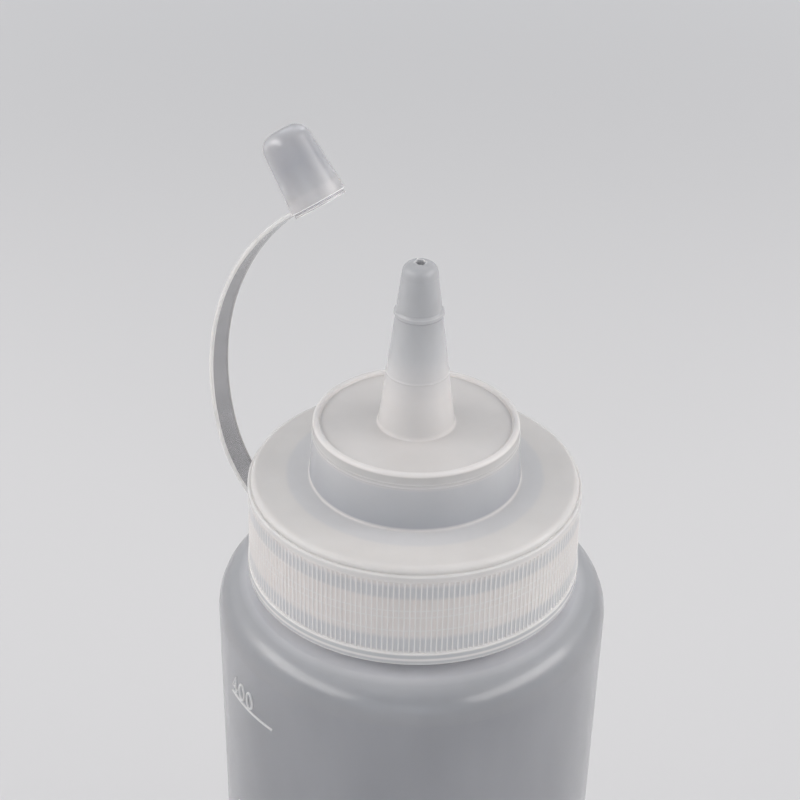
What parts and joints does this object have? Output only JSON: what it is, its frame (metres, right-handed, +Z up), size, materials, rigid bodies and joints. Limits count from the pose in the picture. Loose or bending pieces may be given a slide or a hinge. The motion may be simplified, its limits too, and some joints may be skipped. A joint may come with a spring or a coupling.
{
  "type": "glue applicator bottle",
  "caption": "Soft translucent squeeze bottle with a wide ribbed screw lid, a tapered glue nozzle and a tip cap tethered by a curved strap.",
  "frame": {"origin": "centre of the base, on the surface that the bottle stands on", "axes": "+Z up along the bottle's and the nozzle's axis; the tip cap's strap bows out towards -X, in the XZ plane"},
  "size_m": [0.0781, 0.07, 0.2086],
  "materials": {
    "bottle_plastic": "satin translucent polyethylene, cool milky grey",
    "lid_plastic": "satin translucent polyethylene, warm milky white",
    "strap_plastic": "satin translucent polyethylene, thin and clearer than the lid",
    "seal_foam": "matt white foamed polyethylene"
  },
  "bodies": {
    "bottle": {"bottle": "bottle_plastic"},
    "lid_seal": {"lid_seal": "seal_foam"},
    "lid": {"lid": "lid_plastic"},
    "strap_lower": {"strap_lower": "strap_plastic"},
    "strap_upper": {"strap_upper": "strap_plastic"},
    "tip_cap": {"tip_cap": "lid_plastic"}
  },
  "joints": [
    {"name": "lid_rise", "type": "slide", "parent": "bottle", "child": "lid_seal", "axis": [0, 0, 1], "range_m": [0, 0.0081]},
    {"name": "lid_unscrew", "type": "hinge", "parent": "lid_seal", "child": "lid", "pos_m": [0, 0, 0.1315], "axis": [0, 0, 1], "range_deg": [0, 720]},
    {"name": "strap_swing", "type": "hinge", "parent": "lid", "child": "strap_lower", "pos_m": [-0.0309, 0, 0.13245], "axis": [0, 1, 0], "range_deg": [-20, 17.08], "stiffness_Nm_per_rad": 0.01},
    {"name": "cap_press", "type": "hinge", "parent": "strap_lower", "child": "strap_upper", "pos_m": [-0.03386, 0, 0.18384], "axis": [0, 1, 0], "range_deg": [0, 36.67], "stiffness_Nm_per_rad": 0.01},
    {"name": "cap_tilt", "type": "hinge", "parent": "strap_upper", "child": "tip_cap", "pos_m": [-0.02486, 0, 0.19315], "axis": [0, 1, 0], "range_deg": [-18.36, 0.2]}
  ],
  "couplings": [
    {"joint": "lid_rise", "follows": "lid_unscrew", "m_per_rad": 0.00063662},
    {"joint": "cap_tilt", "follows": "cap_press", "ratio": -0.49523}
  ]
}
